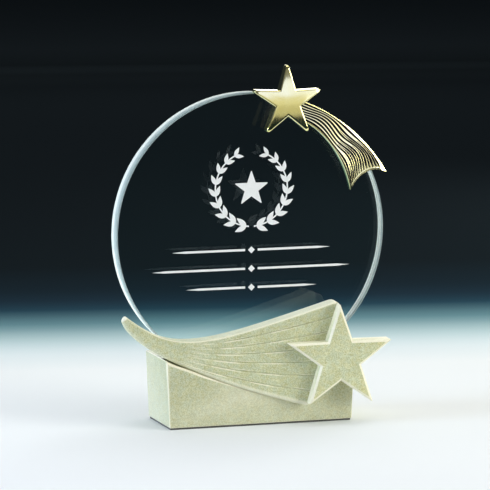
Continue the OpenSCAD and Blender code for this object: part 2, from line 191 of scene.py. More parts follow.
def starOutline(outer, inner, tipRadius, turn, tipSteps=6):
    # an upright star with five rounded points, as pairs round its middle
    points = 5
    toCorner = 180 / points  # degrees from a point to the next inner corner
    cornerOut, cornerSide = polar(inner, toCorner)
    a = math.atan2(cornerSide, outer - cornerOut)
    middle = outer - tipRadius / math.sin(a)
    arc = 90 - math.degrees(a)
    outline = []
    for k in range(points):
        heading = 90 + turn + 2 * toCorner * k
        mx, mz = polar(middle, heading)
        for j in range(tipSteps + 1):
            dx, dz = polar(tipRadius, heading + mixed(-arc, arc, j / tipSteps))
            outline.append((mx + dx, mz + dz))
        outline.append(polar(inner, heading + toCorner))
    return outline, outer * math.sin(a)


def divided(outline, longest):
    # splits the long straight runs of an outline
    fine = []
    for (ax, az), (bx, bz) in zip(outline, outline[1:] + outline[:1]):
        count = math.ceil(math.hypot(bx - ax, bz - az) / longest)
        fine += [(mixed(ax, bx, i / count), mixed(az, bz, i / count)) for i in range(count)]
    return fine


# finishes

def newFinish(name):
    finish = bpy.data.materials.new(name)
    finish.use_nodes = True
    return finish, finish.node_tree, finish.node_tree.nodes["Principled BSDF"]


def grainNoise(tree, scale, detail=2.0, stretch=None):
    coords = tree.nodes.new("ShaderNodeTexCoord")
    source = coords.outputs["Object"]
    if stretch:
        mapping = tree.nodes.new("ShaderNodeMapping")
        mapping.inputs["Scale"].default_value = stretch
        tree.links.new(source, mapping.inputs["Vector"])
        source = mapping.outputs["Vector"]
    noise = tree.nodes.new("ShaderNodeTexNoise")
    noise.inputs["Scale"].default_value = scale
    noise.inputs["Detail"].default_value = detail
    tree.links.new(source, noise.inputs["Vector"])
    return noise.outputs["Fac"]


def colourRamp(tree, source, stops):
    ramp = tree.nodes.new("ShaderNodeValToRGB")
    while len(ramp.color_ramp.elements) < len(stops):
        ramp.color_ramp.elements.new(0.5)
    for element, (place, colour) in zip(ramp.color_ramp.elements, stops):
        element.position = place
        element.color = (*colour, 1.0)
    tree.links.new(source, ramp.inputs["Fac"])
    return ramp.outputs["Color"]


def tinted(tree, a, b, share, kind="MIX"):
    blend = tree.nodes.new("ShaderNodeMix")
    blend.data_type = "RGBA"
    blend.blend_type = kind
    if isinstance(share, float):
        blend.inputs["Factor"].default_value = share
    else:
        tree.links.new(share, blend.inputs["Factor"])
    tree.links.new(a, blend.inputs["A"])
    tree.links.new(b, blend.inputs["B"])
    return blend.outputs["Result"]


def ranged(tree, source, low, high):
    span = tree.nodes.new("ShaderNodeMapRange")
    span.inputs["To Min"].default_value = low
    span.inputs["To Max"].default_value = high
    tree.links.new(source, span.inputs["Value"])
    return span.outputs["Result"]


def bumped(tree, shader, source, depth, strength=1.0):
    bump = tree.nodes.new("ShaderNodeBump")
    bump.inputs["Distance"].default_value = depth * mm
    bump.inputs["Strength"].default_value = strength
    tree.links.new(source, bump.inputs["Height"])
    tree.links.new(bump.outputs["Normal"], shader.inputs["Normal"])


stoneLook = {
    "sand": ((0.36, (0.47, 0.485, 0.27)), (0.5, (0.605, 0.63, 0.40)), (0.66, (0.725, 0.75, 0.54))),
    "cloud": ((0.36, (0.90, 0.895, 0.84)), (0.64, (1.0, 1.0, 1.0))),
    "hue": ((0.4, (1.03, 0.995, 0.92)), (0.6, (0.98, 1.0, 1.05))),
    "fleck": ((0.27, (0.76, 0.73, 0.58)), (0.34, (1.0, 1.0, 1.0))),
    "warm": ((0.35, (1.0, 1.0, 1.0)), (0.6, (1.03, 0.93, 0.70))),
    "warmSpan": (0.014, 0.034),
    # the pale colour of the painted highlight on the stone's outward edges
    "edge": ((0.3, (0.84, 0.80, 0.61)), (0.7, (0.90, 0.87, 0.70))),
    "fleckShare": 0.7,
    "edgeHighlightShare": 0.9,
    "sandNoise": (1500.0, 3.0),  # scale and detail
    "cloudNoise": (120.0, 3.0),
    "hueNoise": (330.0, 2.0),
    "fleckNoise": (700.0, 1.0),
    "rough": (0.42, 0.62),
    "grainDepth": 0.09,
    "grainStrength": 0.5,
}


def awayFrom(tree, place, span):
    # nought near a place and one far from it
    coords = tree.nodes.new("ShaderNodeTexCoord")
    away = tree.nodes.new("ShaderNodeVectorMath")
    away.operation = "DISTANCE"
    away.inputs[1].default_value = place
    tree.links.new(coords.outputs["Object"], away.inputs[0])
    share = tree.nodes.new("ShaderNodeMapRange")
    share.inputs["From Min"].default_value, share.inputs["From Max"].default_value = span
    tree.links.new(away.outputs["Value"], share.inputs["Value"])
    return share.outputs["Result"]


def castStone(name, paintedShade, warmAwayFrom=None):
    finish, tree, shader = newFinish(name)
    sand = grainNoise(tree, *stoneLook["sandNoise"])
    cloud = grainNoise(tree, *stoneLook["cloudNoise"])
    hue = grainNoise(tree, *stoneLook["hueNoise"])
    fleck = grainNoise(tree, *stoneLook["fleckNoise"])
    # the sand tones are scaled by paintedShade, painted shade that makes the block and the plate
    # darker copies of the one stone
    shaded = [(place, tuple(paintedShade * c for c in colour)) for place, colour in stoneLook["sand"]]
    tone = colourRamp(tree, sand, shaded)
    tone = tinted(tree, tone, colourRamp(tree, cloud, stoneLook["cloud"]), 1.0, "MULTIPLY")
    tone = tinted(tree, tone, colourRamp(tree, hue, stoneLook["hue"]), 1.0, "MULTIPLY")
    flecks = colourRamp(tree, fleck, stoneLook["fleck"])
    tone = tinted(tree, tone, flecks, stoneLook["fleckShare"], "MULTIPLY")
    if warmAwayFrom:
        share = awayFrom(tree, warmAwayFrom, stoneLook["warmSpan"])
        tone = tinted(tree, tone, colourRamp(tree, cloud, stoneLook["warm"]), share, "MULTIPLY")
    # painted highlight: the stone turns paler on its outward edges, as if they caught the light
    edgeHighlight = tree.nodes.new("ShaderNodeAttribute")
    edgeHighlight.attribute_name = "paintedEdgeHighlight"
    share = ranged(tree, edgeHighlight.outputs["Fac"], 0.0, stoneLook["edgeHighlightShare"])
    tone = tinted(tree, tone, colourRamp(tree, sand, stoneLook["edge"]), share)
    tree.links.new(tone, shader.inputs["Base Color"])
    tree.links.new(ranged(tree, sand, *stoneLook["rough"]), shader.inputs["Roughness"])
    bumped(tree, shader, sand, stoneLook["grainDepth"], stoneLook["grainStrength"])
    return finish


giltLook = {
    "tones": ((0.35, (0.95, 0.86, 0.38)), (0.65, (0.98, 0.92, 0.50))),
    "rough": (0.05, 0.12),
    "filmNoise": (60.0, 2.0),
    "filmDepth": 0.05,
    "filmStrength": 0.15,
    "wipeNoise": (900.0, 2.0, (1.0, 1.0, 0.15)),  # drawn out upwards by the polishing cloth
}


def polishedGilt():
    finish, tree, shader = newFinish("polishedGilt")
    film = grainNoise(tree, *giltLook["filmNoise"])
    wipe = grainNoise(tree, *giltLook["wipeNoise"])
    tree.links.new(colourRamp(tree, film, giltLook["tones"]), shader.inputs["Base Color"])
    tree.links.new(ranged(tree, wipe, *giltLook["rough"]), shader.inputs["Roughness"])
    shader.inputs["Metallic"].default_value = 1.0
    bumped(tree, shader, film, giltLook["filmDepth"], giltLook["filmStrength"])
    return finish


enamelLook = {
    "noise": (500.0, 2.0),
    "tones": ((0.3, (0.002, 0.002, 0.002)), (0.7, (0.005, 0.005, 0.005))),
    "rough": (0.6, 0.8),
    "sockets": {"Specular IOR Level": 0.03},
}
beddingLook = {
    "noise": (400.0, 2.0),
    "tones": ((0.3, (0.78, 0.82, 0.82)), (0.7, (0.90, 0.93, 0.92))),
    "rough": (0.1, 0.3),
    "sockets": {"IOR": 1.42, "Transmission Weight": 0.85},
}
inkLook = {
    "noise": (2500.0, 2.0),
    "tones": ((0.3, (0.80, 0.82, 0.82)), (0.7, (0.90, 0.91, 0.91))),
    "rough": (0.5, 0.65),
    "sockets": {},
}
steelLook = {
    "noise": (300.0, 2.0, (1.0, 1.0, 12.0)),  # squeezed into lines round the turned pins
    "tones": ((0.3, (0.46, 0.47, 0.48)), (0.7, (0.66, 0.67, 0.68))),
    "rough": (0.25, 0.45),
    "sockets": {"Metallic": 1.0},
}


def plainFinish(name, look):
    # one noise for both colour and roughness, and even values for the other sockets
    finish, tree, shader = newFinish(name)
    grain = grainNoise(tree, *look["noise"])
    tree.links.new(colourRamp(tree, grain, look["tones"]), shader.inputs["Base Color"])
    tree.links.new(ranged(tree, grain, *look["rough"]), shader.inputs["Roughness"])
    for socket, value in look["sockets"].items():
        shader.inputs[socket].default_value = value
    return finish


clearLook = {
    "ior": 1.49,
    "haze": (25.0, 2.0),
    "tints": ((0.3, (0.85, 0.97, 0.98)), (0.7, (0.90, 1.0, 1.0))),
    "rimPaintedGlow": ((0.05, (0.26, 0.33, 0.33)), (0.42, (0.42, 0.50, 0.49)),
                 (0.62, (0.93, 0.96, 0.90))),
    "rimNoise": (200.0, 2.0),
    "rimHaze": ((0.3, (0.93, 0.95, 0.95)), (0.7, (1.0, 1.0, 1.0))),
    "rimRough": (0.75, 0.85),
    "rimClear": 0.5,
}


def clearAcrylic():
    finish, tree, shader = newFinish("clearAcrylic")
    haze = grainNoise(tree, *clearLook["haze"])
    tree.links.new(colourRamp(tree, haze, clearLook["tints"]), shader.inputs["Base Color"])
    shader.inputs["Roughness"].default_value = 0.0
    shader.inputs["IOR"].default_value = clearLook["ior"]
    shader.inputs["Transmission Weight"].default_value = 1.0
    return finish


def satinRimPaintedGlow():
    # the rim, left satin from the lathe, with a painted glow: painted shade towards the front and
    # pale painted light towards the back
    finish, tree, shader = newFinish("satinRimPaintedGlow")
    haze = grainNoise(tree, *clearLook["rimNoise"])
    coords = tree.nodes.new("ShaderNodeTexCoord")
    axes = tree.nodes.new("ShaderNodeSeparateXYZ")
    tree.links.new(coords.outputs["Object"], axes.inputs["Vector"])
    share = tree.nodes.new("ShaderNodeMapRange")
    share.inputs["From Min"].default_value = -layout["discThick"] / 2 * mm
    share.inputs["From Max"].default_value = layout["discThick"] / 2 * mm
    tree.links.new(axes.outputs["Y"], share.inputs["Value"])
    # painted glow along the rim by depth: dark at the front face, nearly white at the back
    tone = colourRamp(tree, share.outputs["Result"], clearLook["rimPaintedGlow"])
    tone = tinted(tree, tone, colourRamp(tree, haze, clearLook["rimHaze"]), 1.0, "MULTIPLY")
    tree.links.new(tone, shader.inputs["Base Color"])
    tree.links.new(ranged(tree, haze, *clearLook["rimRough"]), shader.inputs["Roughness"])
    shader.inputs["IOR"].default_value = clearLook["ior"]
    shader.inputs["Transmission Weight"].default_value = clearLook["rimClear"]
    return finish


feltLook = {
    "noise": (2200.0, 4.0),
    "tones": ((0.3, (0.05, 0.05, 0.045)), (0.7, (0.11, 0.11, 0.10))),
    "rough": 0.95,
    "sheen": 0.3,
    "napDepth": 0.2,
    "napStrength": 0.8,
}


def darkFelt():
    finish, tree, shader = newFinish("darkFelt")
    fibre = grainNoise(tree, *feltLook["noise"])
    tree.links.new(colourRamp(tree, fibre, feltLook["tones"]), shader.inputs["Base Color"])
    shader.inputs["Roughness"].default_value = feltLook["rough"]
    shader.inputs["Sheen Weight"].default_value = feltLook["sheen"]
    bumped(tree, shader, fibre, feltLook["napDepth"], feltLook["napStrength"])
    return finish


gilt = polishedGilt()
print("gilt finish made")

# stone star and swoosh plate, measured along the plate and up from the block's top

star = {
    "centre": (83.3, -1.7),
    "outer": 35.6,
    "inner": 14.0,
    "tipRadius": 0.4,
    "turn": 0.8,
    "back": 4.0,
    "face": -8.0,
    "edge": 1.3,
    "edgeMargin": 0.25,
    "fit": 0.1,
    "cutterFace": -24.0,
    "sharpDegrees": 40,
    "paintedShade": 1.0,
}
plate = {
    "thick": 12.6,
    "tipThick": 4.5,
    "taperFrom": -12.0,
    "tipReach": 54.0,
    "topEdge": ((-53.0, 28.35), (-21.0, 3.0), (-4.5, 8.0), (84.0, 34.8)),
    "lowEdge": ((-55.9, 25.1), (-50.0, 6.7), (3.3, -17.0), (63.3, -32.3)),
    "tipCap": ((-53.0, 28.35), (-54.4, 29.45), (-56.5, 27.0), (-55.9, 25.1)),
    "capShare": 0.04,
    "backing": 12.0,
    "backingFrom": 54.0,
    "backingEnd": -90.0,
    "cornerRadius": 4.0,
    "grooves": 6,
    "rowLeft": 0.09,
    "rowRight": 0.15,
    "rowLast": 0.855,
    "grooveFrom": 0.44,
    "grooveSwell": 0.25,
    "grooveUp": 0.3,
    "grooveDown": 0.5,
    "grooveDepth": 0.6,
    "topRound": 1.0,
    "lowRound": 2.2,
    "tipRound": 1.6,
    "backRound": 0.7,
    "tipShare": 0.2,
    "slant": 0.86,  # the edges run aslant, so they are nearer than along a column
    "columns": 150,
    "columnBias": 1.15,
    "endColumns": 8,
    "sharpDegrees": 50,
    "edgeHighlight": (0, 16, 32),
    "paintedShade": 0.95,
}


def backingPoint(degrees):
    x, z = polar(plate["backing"], degrees + star["turn"])
    return star["centre"][0] + x, star["centre"][1] + z


plateEndLine = (plate["topEdge"][3], backingPoint(plate["backingFrom"]),
                backingPoint(plate["backingEnd"]), plate["lowEdge"][3])


def plateEnd(f):
    place = f * 3
    k = min(2, int(place))
    return tuple(mixed(a, b, place - k) for a, b in zip(plateEndLine[k], plateEndLine[k + 1]))


def plateSpot(t, f):
    if t > 1:
        edge = plateSpot(1.0, f)
        stop = plateEnd(f)
        return tuple(mixed(a, b, t - 1) for a, b in zip(edge, stop))
    top = curvePoint(plate["topEdge"], t)
    low = curvePoint(plate["lowEdge"], t)
    spot = tuple(mixed(a, b, f) for a, b in zip(top, low))
    if t < plate["capShare"]:
        cap = curvePoint(plate["tipCap"], f)
        flat = tuple(mixed(a, b, f) for a, b in zip(plate["topEdge"][0], plate["lowEdge"][0]))
        fade = 1 - t / plate["capShare"]
        spot = tuple(s + (c - q) * fade for s, c, q in zip(spot, cap, flat))
    return spot


def cornerRounded(spot):
    # rounds the outline's top right corner; also gives the distance in from it
    cx, cz = plateEndLine[0]
    ex, ez = plateEndLine[1]
    span = math.hypot(ex - cx, ez - cz)
    down = ((ex - cx) / span, (ez - cz) / span)
    left = (down[1], -down[0])
    dx, dz = spot[0] - cx, spot[1] - cz
    reach = plate["cornerRadius"]
    qDown = reach - (dx * down[0] + dz * down[1])
    qLeft = reach - (dx * left[0] + dz * left[1])
    if qDown <= 0 or qLeft <= 0:
        return spot, None
    size = math.hypot(qDown, qLeft)
    pull = max(qDown, qLeft) / size
    moved = (reach - qDown * pull, reach - qLeft * pull)
    x = cx + moved[0] * down[0] + moved[1] * left[0]
    z = cz + moved[0] * down[1] + moved[1] * left[1]
    return (x, z), reach - size * pull


def grooveRow(k, t):
    first = mixed(plate["rowLeft"], plate["rowRight"], min(1.0, t))
    return mixed(first, plate["rowLast"], k / (plate["grooves"] - 1))


def grooveDip(below, t):
    # below is the distance under the groove's line, negative above it
    swell = eased((t - plate["grooveFrom"]) / plate["grooveSwell"])
    side = plate["grooveDown"] if below > 0 else plate["grooveUp"]
    return plate["grooveDepth"] * swell * max(0.0, 1 - abs(below) / side)


def plateRows():
    # each row is a pair: the groove line above it, and its share of the way to the next line
    edge = [0, 0.006, 0.015, 0.03, 0.055, 0.09, 0.14, 0.21,
            0.32, 0.48, 0.66, 0.8, 0.88, 0.93, 0.96, 0.985]
    inner = [0, 0.012, 0.025, 0.045, 0.07, 0.1, 0.16, 0.27,
             0.4, 0.55, 0.7, 0.82, 0.9, 0.945, 0.97, 0.985]
    low = [0, 0.02, 0.04, 0.07, 0.11, 0.17, 0.26, 0.36, 0.47,
           0.58, 0.68, 0.76, 0.83, 0.89, 0.935, 0.97, 0.99, 1]
    rows = [(-1, s) for s in edge]
    for k in range(plate["grooves"] - 1):
        rows += [(k, s) for s in inner]
    return rows + [(plate["grooves"] - 1, s) for s in low]


def plateBack(along):
    run = (along + plate["tipReach"]) / (plate["taperFrom"] + plate["tipReach"])
    return mixed(plate["tipThick"], plate["thick"], min(1.0, max(0.0, run)))


def makePlate():
    rows = plateRows()
    ts = [(i / plate["columns"]) ** plate["columnBias"] for i in range(plate["columns"] + 1)]
    ts += [1 + (i + 1) / plate["endColumns"] for i in range(plate["endColumns"])]
    front, back = [], []
    for t in ts:
        top, low = plateSpot(t, 0.0), plateSpot(t, 1.0)
        height = math.hypot(top[0] - low[0], top[1] - low[1])
        lines = [0.0] + [grooveRow(k, t) for k in range(plate["grooves"])] + [1.0]
        frontColumn, backColumn = [], []
        for k, share in rows:
            f = mixed(lines[k + 1], lines[k + 2], share)
            spot = plateSpot(t, f)
            toTip = math.dist(spot, plateSpot(0.0, f)) if t < plate["tipShare"] else math.inf
            spot, inCorner = cornerRounded(spot)
            toTop, toLow = plate["slant"] * f * height, plate["slant"] * (1 - f) * height
            if inCorner is not None:
                toTop = min(toTop, inCorner)
            sag = max(roundDrop(toTop, plate["topRound"]), roundDrop(toLow, plate["lowRound"]),
                      roundDrop(toTip, plate["tipRound"]))
            lean = roundDrop(min(toTop, toLow, toTip), plate["backRound"])
            for line in lines[1:-1]:
                sag = max(sag, grooveDip((f - line) * height * plate["slant"], min(1.0, t)))
            frontColumn.append(onPlate(spot[0], sag, spot[1]))
            backColumn.append(onPlate(spot[0], plateBack(spot[0]) - lean, spot[1]))
        front.append(frontColumn)
        back.append(backColumn)
    return addPiece("swooshPlate", *gridSolid(front, back), plate["sharpDegrees"])


def starRing(scale, depth, outline):
    cx, cz = star["centre"]
    return [onPlate(cx + x * scale, depth, cz + z * scale) for x, z in outline]


def makeStoneStar():
    outline, edgeReach = starOutline(star["outer"], star["inner"], star["tipRadius"], star["turn"])
    face, edge, margin = star["face"], star["edge"], star["edgeMargin"]
    rings = [starRing(1.0, star["back"], outline)]
    for inward, depth in ((0, edge + margin), (0, edge), (edge, 0), (edge + margin, 0)):
        rings.append(starRing(1 - inward / edgeReach, face + depth, outline))
    return addPiece("stoneStar", *ringSolid(rings), star["sharpDegrees"])


def starCutter():
    outline, edgeReach = starOutline(star["outer"], star["inner"], star["tipRadius"], star["turn"])
    grow = 1 + star["fit"] / edgeReach
    rings = [starRing(grow, depth, outline) for depth in (star["back"], star["cutterFace"])]
    return addPiece("starCutter", *ringSolid(rings))


swooshPlate = makePlate()
cutAway(swooshPlate, starCutter(), plate["sharpDegrees"])
markHighlightEdges(swooshPlate, *plate["edgeHighlight"])
dress(swooshPlate, castStone("castStone", plate["paintedShade"]), "cast_stone", "swoosh_plate")
print("swoosh plate made:", len(swooshPlate.data.polygons), "faces")
stoneStar = makeStoneStar()
markHighlightEdges(stoneStar)
starMiddle = onPlate(star["centre"][0], star["face"], star["centre"][1])
starStone = castStone("starStone", star["paintedShade"], starMiddle)
dress(stoneStar, starStone, "cast_stone", "stone_star")
print("stone star made")

# base block: the solid with its edges softened, and more so along the ledge under the plate

block = {
    "front": -23.5,
    "frontMargin": 0.1,
    "softFrom": 40,
    "softEdge": 0.6,
    "ledgeEdge": 1.8,
    "ledgeFrom": -46.0,
    "ledgeEnd": -33.0,
    "ledgeLowest": 20.0,
    "steps": 4,
    "flatDegrees": 1.0,
    "flatArea": 60.0,
    "sharpDegrees": 35,
    "edgeHighlight": (12, 20),
    "paintedShade": 0.86,
}


def ledgeShare(edge):
    # full along the open ledge on the front, falling to the common soft edge at its right end
    a, b = (point.co / mm for point in edge.verts)
    least = block["softEdge"] / block["ledgeEdge"]
    onFront = max(a.y, b.y) < block["front"] + block["frontMargin"]
    steep = abs(a.x - b.x) < abs(a.z - b.z)
    if not onFront or steep or min(a.z, b.z) < block["ledgeLowest"]:
        return least
    along = ((a.x + b.x) / 2 - block["ledgeFrom"]) / (block["ledgeEnd"] - block["ledgeFrom"])
    return mixed(1.0, least, eased(along))


def makeBlock():
    mesh = nodes["base_block"].data.copy()
    mesh.name = "baseBlock"
    piece = bpy.data.objects.new("baseBlock", mesh)
    bpy.context.scene.collection.objects.link(piece)
    shape = bmesh.new()
    shape.from_mesh(mesh)
    bmesh.ops.remove_doubles(shape, verts=shape.verts, dist=weldGap)
    bmesh.ops.dissolve_limit(shape, angle_limit=math.radians(block["flatDegrees"]),
                             verts=shape.verts, edges=shape.edges)
    weight = shape.edges.layers.float.new("bevel_weight_edge")
    for edge in shape.edges:
        if edge.is_manifold and edge.calc_face_angle(0) > math.radians(block["softFrom"]):
            edge[weight] = ledgeShare(edge)
    shape.to_mesh(mesh)
    shape.free()
    if mesh.has_custom_normals:
        mesh.attributes.remove(mesh.attributes["custom_normal"])
    soft = piece.modifiers.new("soft edges", "BEVEL")
    soft.width = block["ledgeEdge"] * mm
    soft.segments = block["steps"]
    soft.limit_method = "WEIGHT"
    soft.use_clamp_overlap = False
    graph = bpy.context.evaluated_depsgraph_get()
    piece.data = bpy.data.meshes.new_from_object(piece.evaluated_get(graph))
    piece.modifiers.clear()
    tidyMesh(piece, block["sharpDegrees"], block["flatArea"])
    return piece


baseBlock = makeBlock()
markHighlightEdges(baseBlock, *block["edgeHighlight"])
dress(baseBlock, castStone("blockStone", block["paintedShade"]), "cast_stone", "base_block")
print("base block made:", len(baseBlock.data.polygons), "faces")

# clear disc

disc = {
    "segments": 288,
    "chamfer": 0.8,
    "chamferSteps": 3,
    "foot": 35.0,
    "screwXs": (-13.2, 10.8),
    "holeRadius": 2.1,
    "holeDepth": 8.6,
    "holeBelow": 1.0,
    "holeSegments": 24,
    "sharpDegrees": 28,
    "flatArea": 100.0,
    "rimFrom": 88.0,
}


def screwHole(x):
    # a round cutter from below the foot to the end of the hole
    rings = []
    for z in (disc["foot"] - disc["holeBelow"], disc["foot"] + disc["holeDepth"]):
        ring = []
        for i in range(disc["holeSegments"]):
            dx, dy = polar(disc["holeRadius"], 360 * i / disc["holeSegments"])
            ring.append(Vector((x + dx, dy, z)) * mm)
        rings.append(ring)
    return addPiece("screwHole", *ringSolid(rings))


def makeDisc():
    radius, half = layout["discRadius"], layout["discThick"] / 2
    profile = []
    for j in range(disc["chamferSteps"] + 1):
        turn = math.radians(90 * j / disc["chamferSteps"])
        inward = disc["chamfer"] * (1 - math.sin(turn))
        profile.append((radius - inward, -half + disc["chamfer"] * (1 - math.cos(turn))))
    profile += [(r, -y) for r, y in reversed(profile)]
    rings = []
    for r, y in profile:
        ring = []
        for i in range(disc["segments"]):
            x, z = polar(r, 360 * i / disc["segments"])
            ring.append(Vector((layout["discX"] + x, y, layout["discZ"] + z)) * mm)
        rings.append(ring)
    piece = addPiece("clearDisc", *ringSolid(rings), disc["sharpDegrees"])
    shape = bmesh.new()
    shape.from_mesh(piece.data)
    everything = shape.verts[:] + shape.edges[:] + shape.faces[:]
    bmesh.ops.bisect_plane(shape, geom=everything, clear_outer=True,
                           plane_co=(0, 0, disc["foot"] * mm), plane_no=(0, 0, -1))
    bmesh.ops.holes_fill(shape, edges=shape.edges, sides=0)
    shape.to_mesh(piece.data)
    shape.free()
    for x in disc["screwXs"]:
        cutAway(piece, screwHole(x), disc["sharpDegrees"])
    tidyMesh(piece, disc["sharpDegrees"], disc["flatArea"])
    return piece


def dressRim(piece, finish):
    # the faces round the rim take a second finish
    piece.data.materials.append(finish)
    middleX, middleZ = layout["discX"] * mm, layout["discZ"] * mm
    for face in piece.data.polygons:
        away = math.hypot(face.center.x - middleX, face.center.z - middleZ)
        face.material_index = 1 if away > disc["rimFrom"] * mm else 0


clearDisc = makeDisc()
dress(clearDisc, clearAcrylic(), "clear_acrylic", "award_disc")
dressRim(clearDisc, satinRimPaintedGlow())
print("clear disc made")

# gilt star and its tail

tail = {
    "rootAngle": 72.0,
    "sweep": 50.5,
    "rootWide": 11.2,
    "endWide": 27.8,
    "rootOut": 0.6,
    "endOut": 8.4,
    "outBend": 1.9,
    "wideBend": 1.7,
    "notch": 4.0,
    "thick": 4.2,
    "lean": 0.12,
    "edge": 0.5,
    "edgeRows": (0.0, 0.07, 0.2, 0.4),
    "lines": 7,
    "lineDepth": 0.8,
    "lineStep": 0.0005,  # half the run in which a line's groove starts and stops
    "enamelDrop": 0.2,
    "enamelLift": 0.02,
    "enamelGap": 0.004,
    "enamelColumns": 60,
    "enamelSharp": 45,
    "lineMargin": 0.035,
    "wave": 0.08,
    "waves": 2.1,
    "phase": 0.025,
    "drift": 0.05,
    "lineFrom": 0.02,
    "lineEnd": 0.975,
    "rootShare": 0.54,
    "endShare": 0.36,
    "thinFrom": 0.4,
    "thinRun": 0.25,
    "lineTip": 0.2,
    "lineTaper": 0.06,
    "forkFrom": 0.62,
    "forkSpread": 0.1,
    "forkTurn": 140.0,
    "forkShare": 0.28,
    "forkTaper": 0.2,
    "wall": 0.12,
    "wallShare": 0.3,
    "ridgeSlope": 0.03,
    "columns": 120,
    "sharpDegrees": 38,
}


def tailWide(t):
    return mixed(tail["rootWide"], tail["endWide"], max(0.0, t) ** tail["wideBend"])


def tailSpot(t, f):
    past = mixed(tail["rootOut"], tail["endOut"], max(0.0, t) ** tail["outBend"])
    outer = layout["discRadius"] + past
    stop = tail["rootAngle"] - tail["sweep"] + tail["notch"] * (1 - (2 * f - 1) ** 2)
    return polar(outer - f * tailWide(t), mixed(tail["rootAngle"], stop, t))


def tailHeight(t, f):
    # the face leans outwards, so that it looks up a little
    wide = tailWide(t)
    fall = roundDrop(min(f, 1 - f) * wide, tail["edge"])
    return tail["thick"] - tail["lean"] * (1 - f) * wide - fall


def lineLane(k):
    return mixed(tail["lineMargin"], 1 - tail["lineMargin"], k / tail["lines"])


def tailLines():
    # every line: its place across, where it starts, whether it is a short one, and its wander
    found = []
    for k in range(tail["lines"]):
        found.append((lineLane(k + 0.5), tail["lineFrom"], False, float(k)))
    for k in range(1, tail["lines"]):
        swing = math.sin(math.radians(tail["forkTurn"] * k))
        found.append((lineLane(k), tail["forkFrom"] + tail["forkSpread"] * swing, True, k - 0.5))
    return sorted(found)


def lineHalf(line, t):
    # half the line's width as a share of the tail's width
    f, start, short, k = line
    if t < start or t > tail["lineEnd"]:
        return 0.0
    thinned = eased((t - tail["thinFrom"]) / tail["thinRun"])
    share, taper = mixed(tail["rootShare"], tail["endShare"], thinned), tail["lineTaper"]
    if short:
        share, taper = tail["forkShare"], tail["forkTaper"]
    ends = eased((t - start) / taper) * eased((tail["lineEnd"] - t) / tail["lineTaper"])
    return share / 2 / tail["lines"] * mixed(tail["lineTip"], 1.0, ends)


def linePlace(line, t, side):
    # the middle of a line, or its side -1 or 1, wandering with the lane that it lies in
    f, start, short, k = line
    place = f + side * lineHalf(line, t)
    swing = math.sin(math.radians(360 * (tail["waves"] * t + tail["phase"] * k)))
    return place + 4 * place * (1 - place) * (tail["drift"] * (t - 0.5) + tail["wave"] * swing)


def ridgeSide(gap, wide):
    # the slanted wall beside a line, and how far the ridge has fallen where the wall starts
    wall = min(tail["wall"], tail["wallShare"] * gap * wide)
    return wall / wide, tail["ridgeSlope"] * (gap * wide / 2 - wall)


def tailRows(lines, t):
    # places across the tail with the depth of each, in the same order in every column
    wide = tailWide(t)
    edge = tail["edgeRows"]
    sides = [[linePlace(line, t, side) for side in (-1, 0, 1)] for line in lines]
    starts = [left for left, middle, right in sides] + [1 - edge[-1] / wide]
    before = edge[-1] / wide
    rows = [(d / wide, 0.0) for d in edge]
    for n, (left, middle, right) in enumerate(sides):
        live = right > left
        depth = tail["lineDepth"] if live else 0.0
        leftWall, leftFall = ridgeSide(left - before, wide)
        rightWall, rightFall = ridgeSide(starts[n + 1] - right, wide)
        rows.append((left - leftWall, leftFall if live else 0.0))
        rows += [(left, depth), (middle, depth), (right, depth)]
        rows.append((right + rightWall, rightFall if live else 0.0))
        if n + 1 < len(sides):
            rows.append(((right + starts[n + 1]) / 2, 0.0))
        before = right
    return rows + [(1 - d / wide, 0.0) for d in reversed(edge)]


def makeTail():
    lines = tailLines()
    front, back = [], []
    stations = {i / tail["columns"] for i in range(tail["columns"] + 1)}
    for place in [start for f, start, short, k in lines] + [tail["lineEnd"]]:
        stations |= {place - tail["lineStep"], place + tail["lineStep"]}
    for t in sorted(stations):
        frontColumn, backColumn = [], []
        for f, dip in tailRows(lines, t):
            right, up = tailSpot(t, f)
            frontColumn.append(onFace(right, up, layout["bondThick"] + tailHeight(t, f) - dip))
            backColumn.append(onFace(right, up, layout["bondThick"]))
        front.append(frontColumn)
        back.append(backColumn)
    return addPiece("giltTail", *gridSolid(front, back), tail["sharpDegrees"])


def enamelPoint(t, f, drop):
    return onFace(*tailSpot(t, f), layout["bondThick"] + tailHeight(t, f) - drop)


def makeEnamel():
    points, faces = [], []
    bottom = tail["lineDepth"] - tail["enamelLift"]
    for line in tailLines():
        front, back = [], []
        first, last = line[1] + tail["enamelGap"], tail["lineEnd"] - tail["enamelGap"]
        for i in range(tail["enamelColumns"] + 1):
            t = mixed(first, last, i / tail["enamelColumns"])
            spots = [linePlace(line, t, side) for side in (-1, 0, 1)]
            front.append([enamelPoint(t, f, tail["enamelDrop"]) for f in spots])
            back.append([enamelPoint(t, f, bottom) for f in spots])
        newPoints, newFaces = gridSolid(front, back)
        faces += [tuple(len(points) + q for q in face) for face in newFaces]
        points += newPoints
    return addPiece("tailEnamel", points, faces, tail["enamelSharp"])


giltTail = makeTail()
dress(giltTail, gilt, "gilt_metal", "gilt_tail")
tailEnamel = makeEnamel()
dress(tailEnamel, plainFinish("blackEnamel", enamelLook), "black_enamel", "tail_enamel")
print("gilt tail made:", len(giltTail.data.polygons), "faces")

giltStarSize = {
    "centreRadius": 86.0,
    "centreAngle": 75.1,
    "outer": 23.5,
    "inner": 9.0,
    "tipRadius": 1.2,
    "tipHalfAngle": 18.0,
    "tipSteps": 8,
    "turn": -0.4,
    "thick": 7.5,
    "edge": 0.8,
    "edgeDrop": 0.8,
    "edgeSteps": 9,
    "crown": 1.2,
    "crownAt": (-6.0, -12.0),
    "faceRings": (0.85, 0.7, 0.55, 0.4, 0.25, 0.1),
    "longest": 1.6,
    "sharpDegrees": 38,
    "rootRoom": 0.02,  # the tail's root lies in a pocket behind the star
    "rootReach": 0.5,
    "rootBelow": 1.0,
    "rootColumns": 24,
    "rootRows": 8,
    "fit": 0.1,
}


